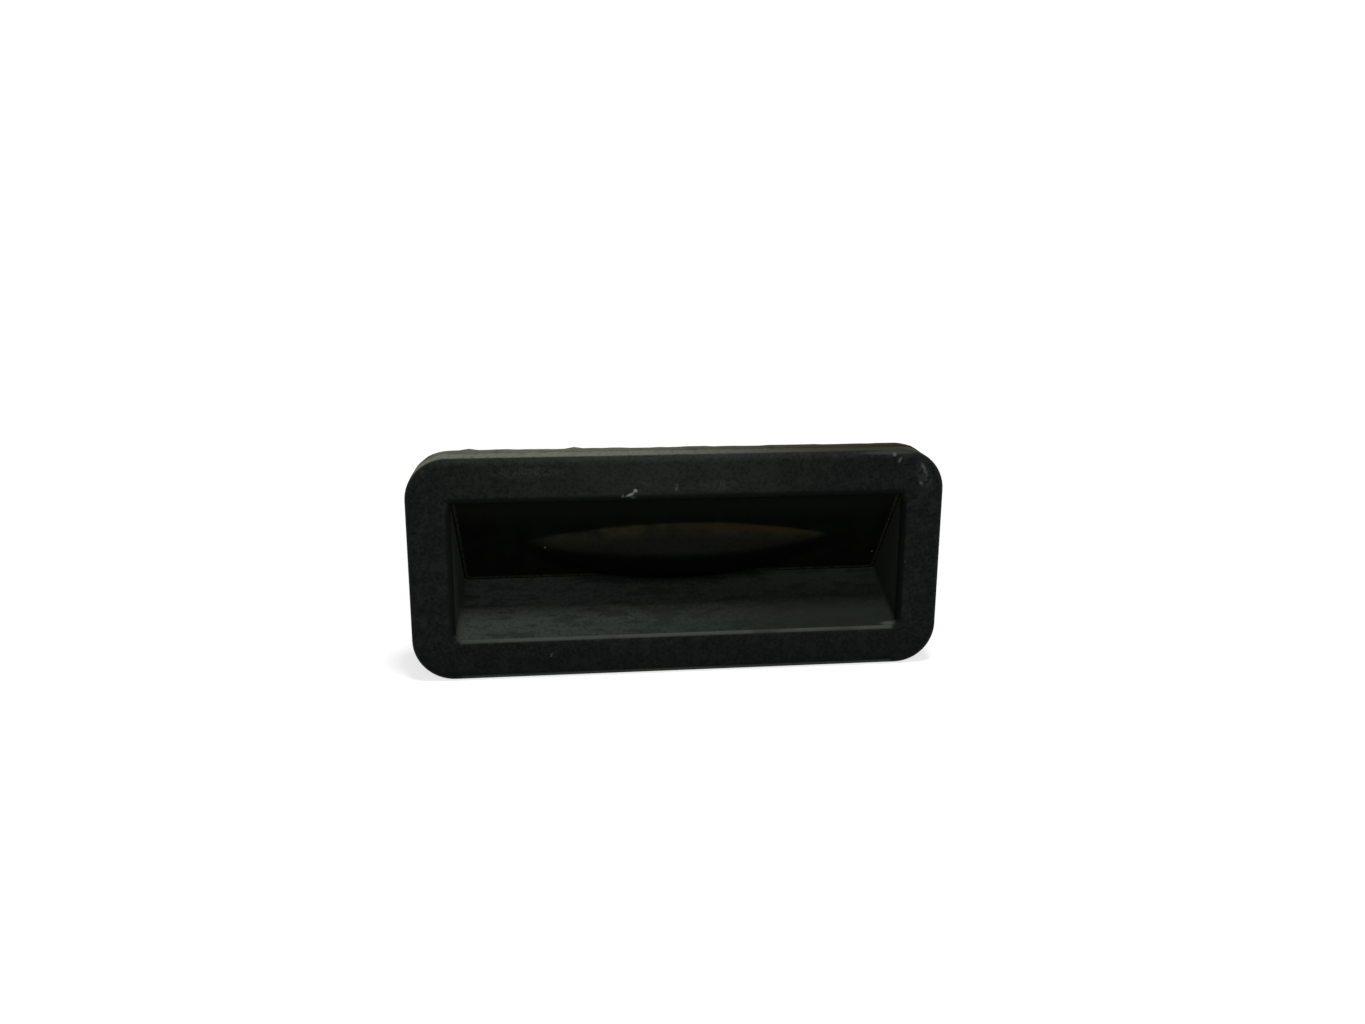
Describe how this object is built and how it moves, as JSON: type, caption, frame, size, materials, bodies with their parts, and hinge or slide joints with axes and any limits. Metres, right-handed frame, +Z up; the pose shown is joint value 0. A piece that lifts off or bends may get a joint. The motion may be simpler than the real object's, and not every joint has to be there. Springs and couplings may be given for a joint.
{
  "type": "trunk release button",
  "caption": "Recessed trunk release button: moulded bezel with a V-shaped finger pocket, rubber membrane with a lens-shaped press pad, hinged paddle, snap switch and rear connector.",
  "frame": {"origin": "middle of the bezel on the plane where the gasket's rear face meets the body panel", "axes": "+X to the right as seen from the front, along the bezel's length; +Y into the vehicle; +Z up"},
  "size_m": [0.09, 0.0392, 0.038],
  "materials": {
    "bezel_plastic": "fine moulded grain, dusty and slightly worn",
    "gasket_foam": "closed-cell foam, dusty grey",
    "membrane_rubber": "soft matt rubber with a brown bloom on the pad",
    "carrier_plastic": "plain moulded",
    "paddle_plastic": "plain moulded, natural",
    "pin_steel": "drawn rod",
    "spring_steel": "drawn wire",
    "switch_plastic": "glass-filled, dark brown",
    "plunger_plastic": "smooth",
    "contact_metal": "tinned brass",
    "board_laminate": "coated laminate",
    "screw_steel": "zinc plated",
    "cover_plastic": "plain moulded, fine grain",
    "seal_rubber": "smooth"
  },
  "bodies": {
    "housing": {"bezel_housing": "bezel_plastic", "flange_gasket": "gasket_foam", "button_membrane": "membrane_rubber", "switch_carrier": "carrier_plastic", "hinge_pin": "pin_steel", "return_spring_left": "spring_steel", "return_spring_right": "spring_steel", "microswitch_case": "switch_plastic", "microswitch_lid": "switch_plastic", "common_terminal": "contact_metal", "signal_terminal": "contact_metal", "circuit_board": "board_laminate", "board_screw_left": "screw_steel", "board_screw_right": "screw_steel", "connector_pin_left": "contact_metal", "connector_pin_right": "contact_metal", "rear_cover": "cover_plastic", "cover_seal": "seal_rubber"},
    "paddle": {"press_paddle": "paddle_plastic"},
    "plunger": {"microswitch_plunger": "plunger_plastic"},
    "blade": {"contact_blade": "contact_metal"}
  },
  "joints": [
    {"name": "press", "type": "hinge", "parent": "housing", "child": "paddle", "pos_m": [0, -0.00082, 0.00934], "axis": [1, 0, 0], "range_deg": [0, 5], "stiffness_Nm_per_rad": 0.08, "springref_deg": -5.73, "deforming": ["button_membrane", "return_spring_left", "return_spring_right"]},
    {"name": "plunger_travel", "type": "slide", "parent": "housing", "child": "plunger", "axis": [0, 0.8358, 0.549], "range_m": [0, 0.00074]},
    {"name": "blade_rock", "type": "hinge", "parent": "housing", "child": "blade", "pos_m": [-0.0047, 0.00806, 0.00512], "axis": [0, -0.549, 0.8358], "range_deg": [0, 4.01]}
  ],
  "couplings": [
    {"joint": "plunger_travel", "follows": "press", "m_per_rad": 0.0084},
    {"joint": "blade_rock", "follows": "press", "ratio": 0.8}
  ]
}
